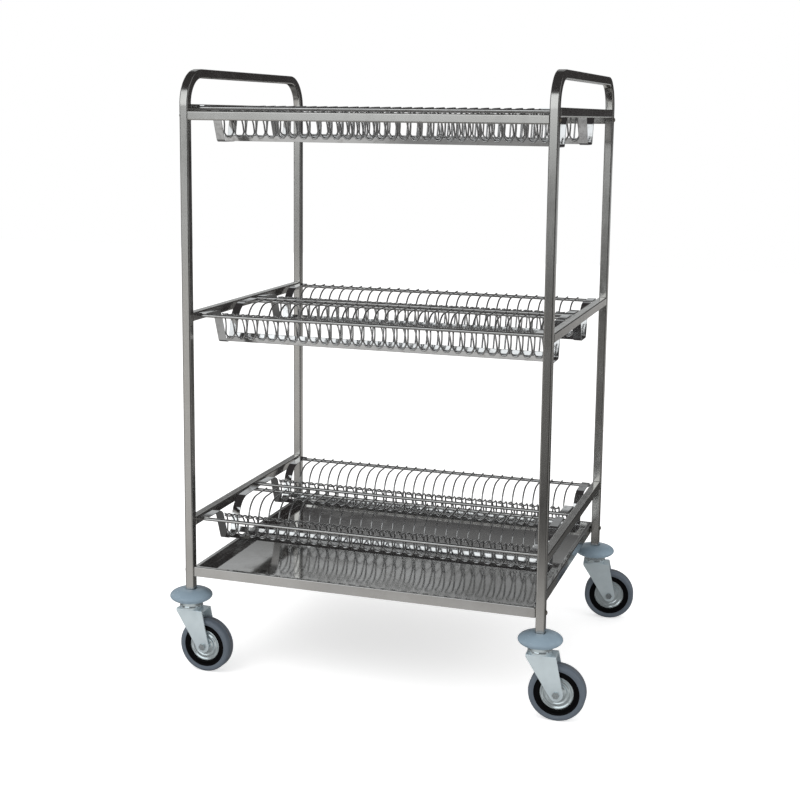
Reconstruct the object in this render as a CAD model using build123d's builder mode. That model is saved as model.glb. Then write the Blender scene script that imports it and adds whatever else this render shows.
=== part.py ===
from build123d import *
import os
from math import cos, radians, sin

# Dish drying trolley: three levels of plate racks over a drip tray, on four swivel castors.
# +X is to the right, +Y to the back, +Z up, in millimetres.
# The origin is on the floor, in the middle between the four posts.

os.makedirs("parts", exist_ok=True)

# Frame
WIDTH = 850  # over the outer faces of the posts
DEPTH = 680  # over the front and rear faces of the posts
HEIGHT = 1384  # floor to the top of the handles
TUBE = 20  # square tube of the whole frame
TUBE_WALL = 1.5
TUBE_CORNER = 2.5  # outer radius of the tube's edges
HANDLE_BEND = 80  # outer radius of the bends between post and handle
HANDLE_RISE = 78  # top of the handles above the top side rails
RAIL_TOPS = {"top": HEIGHT - HANDLE_RISE, "middle": 840, "lower": 362}  # top faces of the side rails
CROSS_RAIL_DROP = 15  # the bolted front and rear rails lie this far under the top side rails

# Clearances
WELD = 0.25  # between pieces that are welded together
FIT = 0.3  # between a sheet or soft piece and the tube that it fits
SEAT = 0.05  # under a bolt head or nut
RUNNING = 0.05  # radial, round a turning shaft

# Bolts through the posts
BOLT = 6
BOLT_HOLE = 6.4
BOLT_HEAD = 11
BOLT_HEAD_HEIGHT = 4
NUT = 10
NUT_HEIGHT = 4.5
BOLT_PAST_NUT = 1
INSERT_LENGTH = 25  # threaded plug in each end of a bolted rail

# Drip tray
TRAY_SEAT = 53  # lower edge of the tray's lip above the castors' seats
TRAY_LIP = 23  # height of the lip that hangs from the rim
TRAY_RIM = 10  # width of the flat rim
TRAY_SHEET = 1.2
TRAY_RAISE = 3  # the tray's floor lies this far above the lower edge of the lip
TRAY_CORNER = 4

# Racks: two troughs side by side on each level
ROW_PITCH = 329  # front rod to front rod
ROW_SPAN = 278  # front rod to rear rod of one trough
ROD = 8
ROD_DROP = 8  # rod's centre below the side rail's top
ROD_ROUND = 3  # rounding of a rod's ends
WIRE = 4
SLOT = 26.3  # pitch of the plate slots
DIVIDERS = 28  # between them and the end straps lie 29 slots
TROUGH_DEPTH = 83  # rail top to the middle of the strap's flat bottom
WIRE_DEPTH = 80  # rail top to the lower ends of the wires
SHOULDER_DROP = 4.5  # the shoulders lie this far under the rail top
FRONT_SHOULDER = 72  # these four lie behind the trough's front rod
FRONT_FOOT = 103
REAR_FOOT = 158
REAR_SHOULDER = 177
SHOULDER_BENDS = (25, 50)  # front and rear bend radius at the top of the walls
FOOT_BEND = 8
LAP = 4  # wires and straps reach this far past the rods
STRAP = 20.5
STRAP_SHEET = 2
STRAP_INSET = 5  # between the side rails and the end straps
STRIP = 14  # width of the strips along the foot of the walls

# Castors
WHEEL = 125
TYRE_WIDTH = 32
TYRE_HEIGHT = 12.5
TREAD_ROUND = 5
RIM_WIDTH = 28
WEB_WIDTH = 16
DISC = 75
DISC_SHEET = 2
HUB = 20
HUB_LENGTH = 37.6
AXLE = 8
AXLE_HEAD = 14
AXLE_HEAD_HEIGHT = 5
TRAIL = 40  # axle behind the swivel pin
CASTOR_HEIGHT = 172  # floor to the seat under the post
FORK_INSIDE = 38
FORK_SHEET = 3
FORK_FRONT = 28  # reach of the fork's top plate ahead of the pin
FORK_BACK = 38
FORK_FOOT = 30  # width of a leg round the axle
FORK_FOLD = 2.5
RACE = 50  # lower bearing cup
RACE_HEIGHT = 3.5
CUP = 54  # upper bearing cup
CUP_HEIGHT = 21
CUP_BOSS = 30
CUP_GAP = 4  # between the upper cup and the fork's top plate, round the race
PIN = 12
PIN_HEAD = 22
PIN_HEAD_HEIGHT = 4
PLUG_CLEAR = 21.5  # from the end of the castor's plug in the post up to the middle of the tray bolts
BUMPER = 98
BUMPER_THICK = 32
BUMPER_EDGE = 12  # thickness of the round rim
BUMPER_RISE = 20  # from the post's foot up to the bumper's top

# The four castors: side, end, and the way each wheel trails, in degrees from +X
CASTORS = {
    "front_left": (-1, -1, -3),
    "front_right": (1, -1, 3),
    "rear_left": (-1, 1, 176),
    "rear_right": (1, 1, 8),
}
SIDES = {"left": -1, "right": 1}
ENDS = {"front": -1, "rear": 1}

post_x = (WIDTH - TUBE) / 2
post_y = (DEPTH - TUBE) / 2
inner_x = WIDTH / 2 - TUBE
inner_y = DEPTH / 2 - TUBE
tube_bore = TUBE - 2 * TUBE_WALL
bore_corner = TUBE_CORNER - TUBE_WALL
plug = tube_bore - 2 * SEAT  # width of what is pushed into a tube
post_foot = CASTOR_HEIGHT + FIT
cross_rail_z = RAIL_TOPS["top"] - CROSS_RAIL_DROP - TUBE / 2
fork_top = CASTOR_HEIGHT - CUP_HEIGHT - CUP_GAP
lip_bottom = CASTOR_HEIGHT + TRAY_SEAT
tray_bolt_z = lip_bottom + TRAY_LIP / 2
strap_from_middle = inner_x - STRAP_INSET


def tube_section():
    """Draw the square tube's hollow section at the current locations."""
    RectangleRounded(TUBE, TUBE, TUBE_CORNER)
    RectangleRounded(tube_bore, tube_bore, bore_corner, mode=Mode.SUBTRACT)


# Side frames: two posts and the handle, bent from one tube
for side, sign in SIDES.items():
    with BuildPart() as side_frame:
        with BuildLine(Plane.YZ.offset(sign * post_x)):
            handle_z = HEIGHT - TUBE / 2
            corners = [(-post_y, post_foot), (-post_y, handle_z), (post_y, handle_z), (post_y, post_foot)]
            FilletPolyline(*corners, radius=HANDLE_BEND - TUBE / 2)
        with BuildSketch(Plane((sign * post_x, -post_y, post_foot))):
            tube_section()
        sweep()
        with BuildSketch(Plane.YZ.offset(sign * post_x)):
            bolt_places = [(end * post_y, z) for end in ENDS.values() for z in (cross_rail_z, tray_bolt_z)]
            with Locations(*bolt_places):
                Circle(BOLT_HOLE / 2)
        extrude(amount=TUBE, both=True, mode=Mode.SUBTRACT)
    side_frame.part.label = f"side_frame_{side}"
    export_step(side_frame.part, f"parts/side_frame_{side}.step")

# Side rails: three tubes welded between the posts of each side frame
for side, sign in SIDES.items():
    with BuildPart() as side_rails:
        with BuildSketch(Plane.XZ):
            with Locations(*[(sign * post_x, top - TUBE / 2) for top in RAIL_TOPS.values()]):
                tube_section()
        extrude(amount=inner_y - WELD, both=True)
    side_rails.part.label = f"side_rails_{side}"
    export_step(side_rails.part, f"parts/side_rails_{side}.step")

# Front and rear top rails, bolted between the side frames
for end, sign in ENDS.items():
    with BuildPart() as top_rail:
        with BuildSketch(Plane.YZ):
            with Locations((sign * post_y, cross_rail_z)):
                tube_section()
        extrude(amount=inner_x - FIT, both=True)
    top_rail.part.label = f"{end}_top_rail"
    export_step(top_rail.part, f"parts/{end}_top_rail.step")

# Threaded plugs in the ends of the top rails
with BuildPart() as rail_inserts:
    for side in SIDES.values():
        outer_end = side * (inner_x - FIT)
        with BuildSketch(Plane.YZ.offset(outer_end)):
            with Locations(*[(end * post_y, cross_rail_z) for end in ENDS.values()]):
                RectangleRounded(plug, plug, bore_corner)
                Circle(BOLT / 2 + SEAT, mode=Mode.SUBTRACT)
        extrude(amount=-side * INSERT_LENGTH)
rail_inserts.part.label = "rail_inserts"
export_step(rail_inserts.part, "parts/rail_inserts.step")


def bolts_through_posts(height, tip):
    """Make four round-headed bolts through the posts at one height, each reaching in as far as tip."""
    shank = WIDTH / 2 + SEAT - tip
    with BuildPart() as bolts:
        for side in SIDES.values():
            for end in ENDS.values():
                centre = Vector(side * (WIDTH / 2 + SEAT), end * post_y, height)
                with BuildSketch(Plane(centre, x_dir=(side, 0, 0), z_dir=(0, -side, 0))):
                    with BuildLine():
                        crown = TangentArc((BOLT_HEAD_HEIGHT, 0), (0, BOLT_HEAD / 2), tangent=(0, 1))
                        Polyline(crown @ 0, (-shank, 0), (-shank, BOLT / 2), (0, BOLT / 2), crown @ 1)
                    make_face()
                revolve(axis=Axis(centre, (side, 0, 0)))
    return bolts.part


rail_bolts = bolts_through_posts(cross_rail_z, inner_x - FIT - INSERT_LENGTH * 0.8)
rail_bolts.label = "rail_bolts"
export_step(rail_bolts, "parts/rail_bolts.step")

# Drip tray: folded sheet with a flat rim and a lip that hangs from it
tray_x = inner_x - FIT
tray_y = DEPTH / 2
with BuildPart() as drip_tray:
    with BuildSketch(Plane.XY.offset(lip_bottom)):
        RectangleRounded(2 * tray_x, 2 * tray_y, TRAY_CORNER)
    extrude(amount=TRAY_LIP)
    with BuildSketch(Plane.XY.offset(lip_bottom + TRAY_RAISE + TRAY_SHEET)):
        RectangleRounded(2 * (tray_x - TRAY_RIM), 2 * (tray_y - TRAY_RIM), TRAY_CORNER)
    extrude(amount=TRAY_LIP, mode=Mode.SUBTRACT)
    with BuildSketch(Plane.XY.offset(lip_bottom)):
        Rectangle(2 * (tray_x - TRAY_SHEET), 2 * (tray_y - TRAY_SHEET))
    extrude(amount=TRAY_RAISE, mode=Mode.SUBTRACT)
    wall = TRAY_RIM - TRAY_SHEET
    with BuildSketch(Plane.XY.offset(lip_bottom)):
        Rectangle(2 * (tray_x - TRAY_SHEET), 2 * (tray_y - TRAY_SHEET))
        RectangleRounded(2 * (tray_x - wall), 2 * (tray_y - wall), TRAY_CORNER, mode=Mode.SUBTRACT)
    extrude(amount=TRAY_LIP - TRAY_SHEET, mode=Mode.SUBTRACT)
    for side in SIDES.values():
        with BuildSketch(Plane.YZ.offset(side * (tray_x + TRAY_SHEET))):
            with Locations(*[(end * post_y, tray_bolt_z) for end in ENDS.values()]):
                Circle(BOLT_HOLE / 2)
        extrude(amount=-side * 3 * TRAY_SHEET, mode=Mode.SUBTRACT)
drip_tray.part.label = "drip_tray"
export_step(drip_tray.part, "parts/drip_tray.step")

nut_seat = tray_x - TRAY_SHEET - SEAT
tray_bolts = bolts_through_posts(tray_bolt_z, nut_seat - NUT_HEIGHT - BOLT_PAST_NUT)
tray_bolts.label = "tray_bolts"
export_step(tray_bolts, "parts/tray_bolts.step")

with BuildPart() as tray_nuts:
    for side in SIDES.values():
        with BuildSketch(Plane.YZ.offset(side * nut_seat)):
            with Locations(*[(end * post_y, tray_bolt_z) for end in ENDS.values()]):
                RegularPolygon(NUT / 2, 6, major_radius=False)
                Circle(BOLT / 2 + SEAT, mode=Mode.SUBTRACT)
        extrude(amount=-side * NUT_HEIGHT)
tray_nuts.part.label = "tray_nuts"
export_step(tray_nuts.part, "parts/tray_nuts.step")

# Racks: each trough is two rods, two end straps with two strips, and a wire pair for each divider
strap_inner = strap_from_middle - STRAP
rod_top = ROD / 2 - ROD_DROP
strap_start = rod_top + WELD + STRAP_SHEET / 2
wire_start = rod_top + WELD + WIRE / 2
divider_places = [(i - (DIVIDERS - 1) / 2) * SLOT for i in range(DIVIDERS)]
row_fronts = {"front": -(ROW_PITCH + ROW_SPAN) / 2, "rear": (ROW_PITCH - ROW_SPAN) / 2}


def wall_point(shoulder, foot, drop):
    """Return the point of a wall line (y, z) at a depth under the rail top."""
    share = (drop - SHOULDER_DROP) / (TROUGH_DEPTH - SHOULDER_DROP)
    return (shoulder + (foot - shoulder) * share, -drop)


def strip_frame(shoulder, foot):
    """Return the middle (y, z) and the tilt in degrees of the strip inside one wall."""
    low = Vector(foot, -TROUGH_DEPTH)
    up = (Vector(shoulder, -SHOULDER_DROP) - low).normalized()
    inward = up.rotate(Axis.Z, -90 if shoulder < foot else 90)
    middle = low + up * (STRIP / 2) + inward * (WIRE / 2 + WELD + STRAP_SHEET / 2)
    return (middle.X, middle.Y), up.get_signed_angle(Vector(0, 1, 0))


for level, rail_top in RAIL_TOPS.items():
    for row, front in row_fronts.items():
        name = f"{level}_{row}_rack"

        with BuildPart() as rods:
            with BuildSketch(Plane.YZ):
                with Locations(*[(front + y, rail_top - ROD_DROP) for y in (0, ROW_SPAN)]):
                    Circle(ROD / 2)
            extrude(amount=inner_x - WELD, both=True)
            fillet(rods.edges().filter_by(GeomType.CIRCLE), ROD_ROUND)
        rods.part.label = f"{name}_rods"
        export_step(rods.part, f"parts/{name}_rods.step")

        with BuildPart() as straps:
            for inner_edge in (strap_inner, -strap_from_middle):
                with BuildSketch(Plane((inner_edge, front, rail_top), x_dir=(0, 1, 0), z_dir=(1, 0, 0))):
                    with BuildLine():
                        FilletPolyline(
                            (-LAP, strap_start),
                            (FRONT_SHOULDER, -SHOULDER_DROP),
                            (FRONT_FOOT, -TROUGH_DEPTH),
                            (REAR_FOOT, -TROUGH_DEPTH),
                            (REAR_SHOULDER, -SHOULDER_DROP),
                            (ROW_SPAN + LAP, strap_start),
                            radius=(SHOULDER_BENDS[0], FOOT_BEND, FOOT_BEND, SHOULDER_BENDS[1]),
                        )
                    trace(line_width=STRAP_SHEET)
                extrude(amount=STRAP)
            with BuildSketch(Plane((0, front, rail_top), x_dir=(0, 1, 0), z_dir=(1, 0, 0))):
                for shoulder, foot in ((FRONT_SHOULDER, FRONT_FOOT), (REAR_SHOULDER, REAR_FOOT)):
                    middle, tilt = strip_frame(shoulder, foot)
                    with Locations(middle):
                        Rectangle(STRAP_SHEET, STRIP, rotation=tilt)
            extrude(amount=strap_inner - WELD, both=True)
        straps.part.label = f"{name}_straps"
        export_step(straps.part, f"parts/{name}_straps.step")

        with BuildPart() as dividers:
            side_view = Plane((0, front, rail_top), x_dir=(0, 1, 0), z_dir=(1, 0, 0))
            walls = (
                (-LAP, FRONT_SHOULDER, FRONT_FOOT, SHOULDER_BENDS[0], 1),
                (ROW_SPAN + LAP, REAR_SHOULDER, REAR_FOOT, SHOULDER_BENDS[1], -1),
            )
            for start, shoulder, foot, bend, inward in walls:
                with BuildLine(side_view):
                    foot_end = wall_point(shoulder, foot, WIRE_DEPTH)
                    FilletPolyline((start, wire_start), (shoulder, -SHOULDER_DROP), foot_end, radius=bend)
                wire_ends = side_view.from_local_coords(Vector(start, wire_start))
                with BuildSketch(Plane(wire_ends, x_dir=(1, 0, 0), z_dir=(0, inward, 0))):
                    with Locations(*[(x, 0) for x in divider_places]):
                        Circle(WIRE / 2)
                sweep()
        dividers.part.label = f"{name}_dividers"
        export_step(dividers.part, f"parts/{name}_dividers.step")

# Castors
axle_z = WHEEL / 2
tyre_bore = WHEEL - 2 * TYRE_HEIGHT
leg_outer = FORK_INSIDE / 2 + FORK_SHEET
for place, (side, end, heading) in CASTORS.items():
    name = f"castor_{place}"
    pivot = Vector(side * post_x, end * post_y, 0)
    back = Vector(cos(radians(heading)), sin(radians(heading)), 0)
    across = Vector(-back.Y, back.X, 0)
    axle = pivot + back * TRAIL + Vector(0, 0, axle_z)
    pin_axis = Axis(pivot, (0, 0, 1))
    axle_axis = Axis(axle, across)
    upright = Plane(pivot, x_dir=back, z_dir=-across)  # side view of the castor
    radial = Plane(axle, x_dir=across, z_dir=back)  # section of the wheel

    with BuildPart() as bumper:
        bumper_middle = post_foot + BUMPER_RISE - BUMPER_THICK / 2
        with BuildSketch(Plane(pivot + Vector(0, 0, bumper_middle), x_dir=back, z_dir=-across)):
            with BuildLine():
                rim_x = (BUMPER - BUMPER_EDGE) / 2
                Line((0, -BUMPER_THICK / 2), (0, BUMPER_THICK / 2))
                TangentArc((0, BUMPER_THICK / 2), (rim_x, BUMPER_EDGE / 2), tangent=(1, 0))
                ThreePointArc((rim_x, BUMPER_EDGE / 2), (BUMPER / 2, 0), (rim_x, -BUMPER_EDGE / 2))
                TangentArc((0, -BUMPER_THICK / 2), (rim_x, -BUMPER_EDGE / 2), tangent=(1, 0))
            make_face()
        revolve(axis=pin_axis)
        with BuildSketch(Plane(pivot + Vector(0, 0, post_foot))):
            Circle(CUP / 2 + FIT)
        extrude(amount=-BUMPER_THICK, mode=Mode.SUBTRACT)
        with BuildSketch(Plane(pivot + Vector(0, 0, post_foot))):
            RectangleRounded(TUBE + 2 * FIT, TUBE + 2 * FIT, TUBE_CORNER)
        extrude(amount=BUMPER_THICK, mode=Mode.SUBTRACT)
    bumper.part.label = f"{name}_bumper"
    export_step(bumper.part, f"parts/{name}_bumper.step")

    with BuildPart() as stem:
        with BuildSketch(upright):
            cup_bottom = CASTOR_HEIGHT - CUP_HEIGHT
            race_top = fork_top + RACE_HEIGHT
            head_top = fork_top - FORK_SHEET - RUNNING
            with BuildLine():
                Polyline(
                    (0, CASTOR_HEIGHT),
                    (CUP * 0.4, CASTOR_HEIGHT),
                    (CUP / 2, CASTOR_HEIGHT - CUP * 0.1),
                    (CUP / 2, cup_bottom),
                    (CUP_BOSS / 2, cup_bottom),
                    (CUP_BOSS / 2, race_top + RUNNING),
                    (PIN / 2, race_top + RUNNING),
                    (PIN / 2, head_top),
                    (PIN_HEAD / 2, head_top),
                    (PIN_HEAD / 2, head_top - PIN_HEAD_HEIGHT),
                    (0, head_top - PIN_HEAD_HEIGHT),
                    close=True,
                )
            make_face()
        revolve(axis=pin_axis)
        with BuildSketch(Plane(pivot + Vector(0, 0, CASTOR_HEIGHT))):
            RectangleRounded(plug, plug, bore_corner)
        extrude(amount=tray_bolt_z - PLUG_CLEAR - CASTOR_HEIGHT)
    stem.part.label = f"{name}_stem"
    export_step(stem.part, f"parts/{name}_stem.step")

    with BuildPart() as fork:
        with BuildSketch(upright):
            with Locations((TRAIL, axle_z)):
                Circle(FORK_FOOT / 2)
            with Locations(((FORK_BACK - FORK_FRONT) / 2, fork_top - FORK_SHEET)):
                Rectangle(FORK_FRONT + FORK_BACK, 2 * FORK_SHEET)
            make_hull()
            with Locations((TRAIL, axle_z)):
                Circle(AXLE / 2 + SEAT, mode=Mode.SUBTRACT)
        extrude(amount=leg_outer, both=True)
        with BuildSketch(upright):
            with Locations((0, (fork_top - FORK_SHEET) / 2)):
                Rectangle(2 * WHEEL, fork_top - FORK_SHEET)
        extrude(amount=FORK_INSIDE / 2, both=True, mode=Mode.SUBTRACT)
        fold_edges = fork.edges().filter_by(Axis((0, 0, 0), back)).group_by(Axis.Z)[-1]
        fillet(fold_edges, FORK_FOLD)
        with BuildSketch(Plane(pivot + Vector(0, 0, fork_top))):
            Circle(RACE / 2)
        extrude(amount=RACE_HEIGHT)
        with BuildSketch(Plane(pivot + Vector(0, 0, fork_top))):
            Circle(PIN / 2 + RUNNING)
        extrude(amount=2 * RACE_HEIGHT, both=True, mode=Mode.SUBTRACT)
    fork.part.label = f"{name}_fork"
    export_step(fork.part, f"parts/{name}_fork.step")

    with BuildPart() as axle_bolt:
        with BuildSketch(Plane(axle, x_dir=back, z_dir=across)):
            Circle(AXLE / 2)
        extrude(amount=leg_outer + AXLE_HEAD_HEIGHT, both=True)
        with BuildSketch(Plane(axle - across * (leg_outer + SEAT), x_dir=back, z_dir=-across)):
            RegularPolygon(AXLE_HEAD / 2, 6, major_radius=False)
        extrude(amount=AXLE_HEAD_HEIGHT)
        with BuildSketch(Plane(axle + across * (leg_outer + SEAT), x_dir=back, z_dir=across)):
            RegularPolygon(AXLE_HEAD / 2, 6, major_radius=False)
            Circle(AXLE / 2 + SEAT, mode=Mode.SUBTRACT)
        extrude(amount=AXLE_HEAD_HEIGHT)
    axle_bolt.part.label = f"{name}_axle"
    export_step(axle_bolt.part, f"parts/{name}_axle.step")

    with BuildPart() as hub:
        with BuildSketch(radial):
            with Locations((0, (AXLE + HUB) / 4 + RUNNING / 2)):
                Rectangle(HUB_LENGTH, (HUB - AXLE) / 2 - RUNNING)
            disc_middle = (WEB_WIDTH + DISC_SHEET) / 2 + SEAT
            with Locations((-disc_middle, (HUB + DISC) / 4), (disc_middle, (HUB + DISC) / 4)):
                Rectangle(DISC_SHEET, (DISC - HUB) / 2 - 2 * SEAT)
        revolve(axis=axle_axis)
    hub.part.label = f"{name}_hub"
    export_step(hub.part, f"parts/{name}_hub.step")

    with BuildPart() as rim:
        with BuildSketch(radial):
            with Locations((0, (HUB + tyre_bore) / 4)):
                Rectangle(WEB_WIDTH, (tyre_bore - HUB) / 2 - 2 * SEAT)
            with Locations((0, (DISC + tyre_bore) / 4)):
                Rectangle(RIM_WIDTH, (tyre_bore - DISC) / 2 - 2 * SEAT)
        revolve(axis=axle_axis)
    rim.part.label = f"{name}_rim"
    export_step(rim.part, f"parts/{name}_rim.step")

    with BuildPart() as tyre:
        with BuildSketch(radial) as tread:
            with Locations((0, (WHEEL + tyre_bore) / 4)):
                Rectangle(TYRE_WIDTH, TYRE_HEIGHT)
            fillet(tread.vertices().sort_by(Axis.Y)[-2:], TREAD_ROUND)
        revolve(axis=axle_axis)
    tyre.part.label = f"{name}_tyre"
    export_step(tyre.part, f"parts/{name}_tyre.step")
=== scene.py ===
"""Dish drying trolley: bent tubes, wire racks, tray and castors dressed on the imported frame.

Sizes are in millimetres and are turned into metres when a mesh is made. +X is to the right, +Y to the
back and +Z up.
"""
import logging
from dataclasses import dataclass, field
from enum import Enum
from math import cos, pi, radians, sin, tau

import bpy
import numpy as np
from mathutils import Matrix, Vector


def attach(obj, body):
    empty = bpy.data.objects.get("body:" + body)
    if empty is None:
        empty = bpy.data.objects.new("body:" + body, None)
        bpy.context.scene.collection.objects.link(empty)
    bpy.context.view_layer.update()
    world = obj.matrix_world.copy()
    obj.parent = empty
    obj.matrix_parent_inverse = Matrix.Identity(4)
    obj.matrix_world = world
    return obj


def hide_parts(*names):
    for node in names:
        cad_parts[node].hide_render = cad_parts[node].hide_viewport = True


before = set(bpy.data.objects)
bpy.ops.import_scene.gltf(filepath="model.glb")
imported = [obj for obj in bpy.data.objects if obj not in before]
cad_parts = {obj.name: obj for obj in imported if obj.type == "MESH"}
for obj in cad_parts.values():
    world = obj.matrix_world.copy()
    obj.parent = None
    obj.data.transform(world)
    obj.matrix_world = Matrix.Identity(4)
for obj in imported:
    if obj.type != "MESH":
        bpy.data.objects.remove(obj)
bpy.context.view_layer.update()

MM = 0.001
log = logging.getLogger("trolley")

Colour = tuple[float, float, float]


class Space(Enum):
    """Where a pattern is laid: along the piece's own UV map, or by its place in the object."""

    ALONG = "UV"
    PLACE = "Object"


class Level(Enum):
    """Top faces of the side rails above the floor."""

    TOP = 1306.0
    MIDDLE = 840.0
    LOWER = 362.0


class Row(Enum):
    """Front rods of the two troughs on a level."""

    FRONT = -303.5
    REAR = 25.5


# Shader maths


class Signal:
    """A shader socket that adds a Math node for each operator used on it."""

    def __init__(self, paint: "Paint", socket: bpy.types.NodeSocket) -> None:
        """Keep the socket and the node tree that it belongs to."""
        self.paint = paint
        self.socket = socket

    def _math(self, operation: str, first: object, second: object) -> "Signal":
        """Join two values in one Math node."""
        return self.paint.node("ShaderNodeMath", {"operation": operation}, {0: first, 1: second})

    def __add__(self, other: object) -> "Signal":
        """Add."""
        return self._math("ADD", self, other)

    __radd__ = __add__

    def __mul__(self, other: object) -> "Signal":
        """Multiply."""
        return self._math("MULTIPLY", self, other)

    __rmul__ = __mul__

    def __sub__(self, other: object) -> "Signal":
        """Subtract."""
        return self._math("SUBTRACT", self, other)

    def __rsub__(self, other: object) -> "Signal":
        """Subtract this from a number."""
        return self._math("SUBTRACT", other, self)

    def over(self, edge: float, soft: float) -> "Signal":
        """Rise from 0 to 1 as the value passes an edge.

        Args:
            edge: middle of the rise.
            soft: width of the rise.

        Returns:
            The clamped ramp.
        """
        settings = {"clamp": True}
        inputs = {0: self, 1: edge - soft / 2, 2: edge + soft / 2, 3: 0.0, 4: 1.0}
        return self.paint.node("ShaderNodeMapRange", settings, inputs)


class Paint:
    """Builds the nodes of one material or world."""

    def __init__(self, tree: bpy.types.NodeTree) -> None:
        """Start from an empty node tree."""
        tree.nodes.clear()
        self.tree = tree

    def node(
        self, kind: str, settings: dict | None = None, inputs: dict | None = None, output: object = 0
    ) -> Signal:
        """Add one node.

        Args:
            kind: the node's type.
            settings: its properties, set first; "stops" are a ramp's (position, colour) pairs.
            inputs: values or signals, by the name or number of the input.
            output: name or number of the output that is returned.

        Returns:
            The chosen output as a signal.
        """
        made = self.tree.nodes.new(kind)
        for name, value in (settings or {}).items():
            if name == "stops":
                stops = made.color_ramp.elements
                while len(stops) < len(value):
                    stops.new(0.5)
                for stop, (position, colour) in zip(stops, value):
                    stop.position, stop.color = position, (*colour, 1.0)
            else:
                setattr(made, name, value)
        for name, value in (inputs or {}).items():
            if isinstance(value, Signal):
                self.tree.links.new(value.socket, made.inputs[name])
            elif isinstance(value, tuple) and len(value) == 3 and made.inputs[name].type == "RGBA":
                made.inputs[name].default_value = (*value, 1.0)
            else:
                made.inputs[name].default_value = value
        return Signal(self, made.outputs[output])

    def place(self, space: Space, scale: Colour = (1.0, 1.0, 1.0)) -> Signal:
        """Return stretched coordinates for a pattern."""
        where = self.node("ShaderNodeTexCoord", output=space.value)
        return self.node("ShaderNodeMapping", inputs={"Vector": where, "Scale": scale})

    def noise(self, where: Signal, scale: float = 1.0, detail: float = 3.0, rough: float = 0.5) -> Signal:
        """Return fractal noise between 0 and 1."""
        inputs = {"Vector": where, "Scale": scale, "Detail": detail, "Roughness": rough}
        return self.node("ShaderNodeTexNoise", inputs=inputs)

    def mix(self, factor: Signal, low: object, high: object) -> Signal:
        """Mix two colours by a factor."""
        inputs = {"Factor": factor, 6: low, 7: high}
        return self.node("ShaderNodeMix", {"data_type": "RGBA", "clamp_factor": True}, inputs, output=2)

    def bump(self, height: Signal, depth: float, strength: float) -> Signal:
        """Return a normal bent by a height, where depth is in metres."""
        inputs = {"Strength": strength, "Distance": depth, "Height": height}
        return self.node("ShaderNodeBump", inputs=inputs, output="Normal")

    def close(self, inputs: dict) -> None:
        """End the material in a Principled shader with these inputs."""
        shader = self.node("ShaderNodeBsdfPrincipled", inputs=inputs)
        self.node_output(shader)

    def node_output(self, shader: Signal) -> None:
        """Link a shader to the material's output."""
        end = self.tree.nodes.new("ShaderNodeOutputMaterial")
        self.tree.links.new(shader.socket, end.inputs["Surface"])


@dataclass(frozen=True)
class Finish:
    """A named surface finish; material() makes it once and then returns the same material."""

    name: str

    def dress(self, paint: Paint) -> None:
        """Build the nodes of the finish."""
        raise NotImplementedError

    def material(self) -> bpy.types.Material:
        """Return the Blender material of this finish."""
        made = bpy.data.materials.get(self.name)
        if made is None:
            made = bpy.data.materials.new(self.name)
            made.use_nodes = True
            self.dress(Paint(made.node_tree))
        return made


@dataclass(frozen=True)
class GroundSteel(Finish):
    """Stainless steel with a fine grain ground along it, faint smears and slightly uneven tone."""

    tone: Colour = (0.67, 0.665, 0.65)
    dull: Colour = (0.56, 0.55, 0.53)
    space: Space = Space.ALONG
    grain: Colour = (2400.0, 22.0, 1.0)
    rough: float = 0.18
    anisotropy: float = 0.2

    def dress(self, paint: Paint) -> None:
        """Grain stretched along the piece moves roughness and bump; a broad cloud moves the tone."""
        streak = paint.noise(paint.place(self.space, self.grain), detail=4.0, rough=0.6)
        cloud = paint.noise(paint.place(Space.PLACE), scale=9.0, detail=4.0, rough=0.6)
        smear = paint.noise(paint.place(Space.PLACE, (1.0, 1.0, 0.35)), scale=38.0).over(0.62, 0.22)
        tone = paint.mix((cloud - 0.5) * 1.6 + (streak - 0.5) * 0.9 + 0.5, self.dull, self.tone)
        rough = (streak - 0.5) * 0.2 + (cloud - 0.5) * 0.1 + smear * 0.06 + self.rough
        paint.close({
            "Base Color": tone, "Metallic": 1.0, "Roughness": rough, "Anisotropic": self.anisotropy,
            "Normal": paint.bump(streak, 0.00002, 0.4),
        })


@dataclass(frozen=True)
class BrightWire(Finish):
    """Polished stainless wire, rod and strap with faint drawing lines and a few dull spots."""

    tone: Colour = (0.68, 0.685, 0.69)
    dull: Colour = (0.52, 0.51, 0.5)
    rough: float = 0.11

    def dress(self, paint: Paint) -> None:
        """Dull spots from broad noise lower the tone and raise the roughness."""
        spots = paint.noise(paint.place(Space.PLACE), scale=60.0, detail=4.0, rough=0.65)
        lines = paint.noise(paint.place(Space.ALONG, (1800.0, 30.0, 1.0)), detail=2.0)
        dull = spots.over(0.6, 0.2)
        paint.close({
            "Base Color": paint.mix(dull * 0.6, self.tone, self.dull), "Metallic": 1.0,
            "Roughness": dull * 0.12 + (lines - 0.5) * 0.06 + self.rough,
            "Normal": paint.bump(lines, 0.00002, 0.35),
        })


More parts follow.
